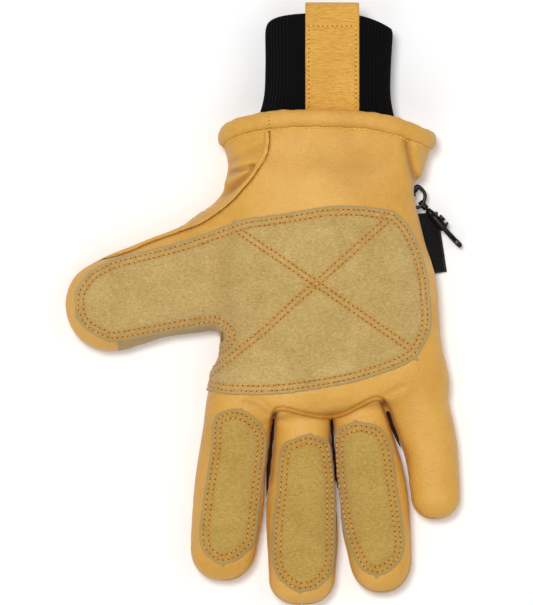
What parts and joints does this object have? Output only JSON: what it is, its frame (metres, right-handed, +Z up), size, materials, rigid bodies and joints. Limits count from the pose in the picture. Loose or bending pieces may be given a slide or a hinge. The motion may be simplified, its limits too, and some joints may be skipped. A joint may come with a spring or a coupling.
{
  "type": "lined pigskin work glove for the right hand",
  "caption": "Padded leather work glove, palm up, with suede reinforcing patches, stuffed hem, rib-knit wrist, pull tab and a swivel snap hook on a side loop.",
  "frame": {"origin": "on the surface that the glove lies on, under the middle of the palm's thumb side", "axes": "+Y from the fingertips to the cuff, +Z up out of the palm, +X from the thumb side to the little finger side"},
  "size_m": [0.2019, 0.3072, 0.0454],
  "materials": {
    "pigskin": "golden tan pigskin with fine pores, soft satin",
    "trim_leather": "smoother golden leather of the piping and pull tab",
    "suede": "olive tan split suede, matt with a short nap",
    "rib_knit": "black rib knit, matt",
    "woven_label": "black woven tape, matt",
    "webbing": "black narrow webbing",
    "black_plastic": "black moulded plastic, satin gloss"
  },
  "bodies": {
    "glove": {"palm_panel": "pigskin", "back_panel": "pigskin", "thumb_back": "pigskin", "middle_front": "pigskin", "ring_front": "pigskin", "strip_index_middle": "pigskin", "strip_middle_ring": "pigskin", "strip_ring_little": "pigskin", "hem_roll": "pigskin", "thumb_welt": "trim_leather", "knuckle_welt": "trim_leather", "pull_tab": "trim_leather", "palm_patch": "suede", "thumb_side_patch": "suede", "index_patch": "suede", "middle_patch": "suede", "ring_patch": "suede", "knit_cuff": "rib_knit", "side_label": "woven_label", "hang_loop": "webbing", "clip_ring": "black_plastic"},
    "hook": {"clip_hook": "black_plastic"},
    "bolt": {"clip_bolt": "black_plastic"}
  },
  "joints": [
    {"name": "hook_swivel", "type": "hinge", "parent": "glove", "child": "hook", "pos_m": [0.0812, 0.0496, 0.0096], "axis": [0.6756, -0.7373, 0], "continuous": true},
    {"name": "bolt_slide", "type": "slide", "parent": "hook", "child": "bolt", "axis": [-0.6756, 0.7373, 0], "range_m": [0, 0.004], "stiffness_N_per_m": 120, "springref_m": -0.002}
  ]
}
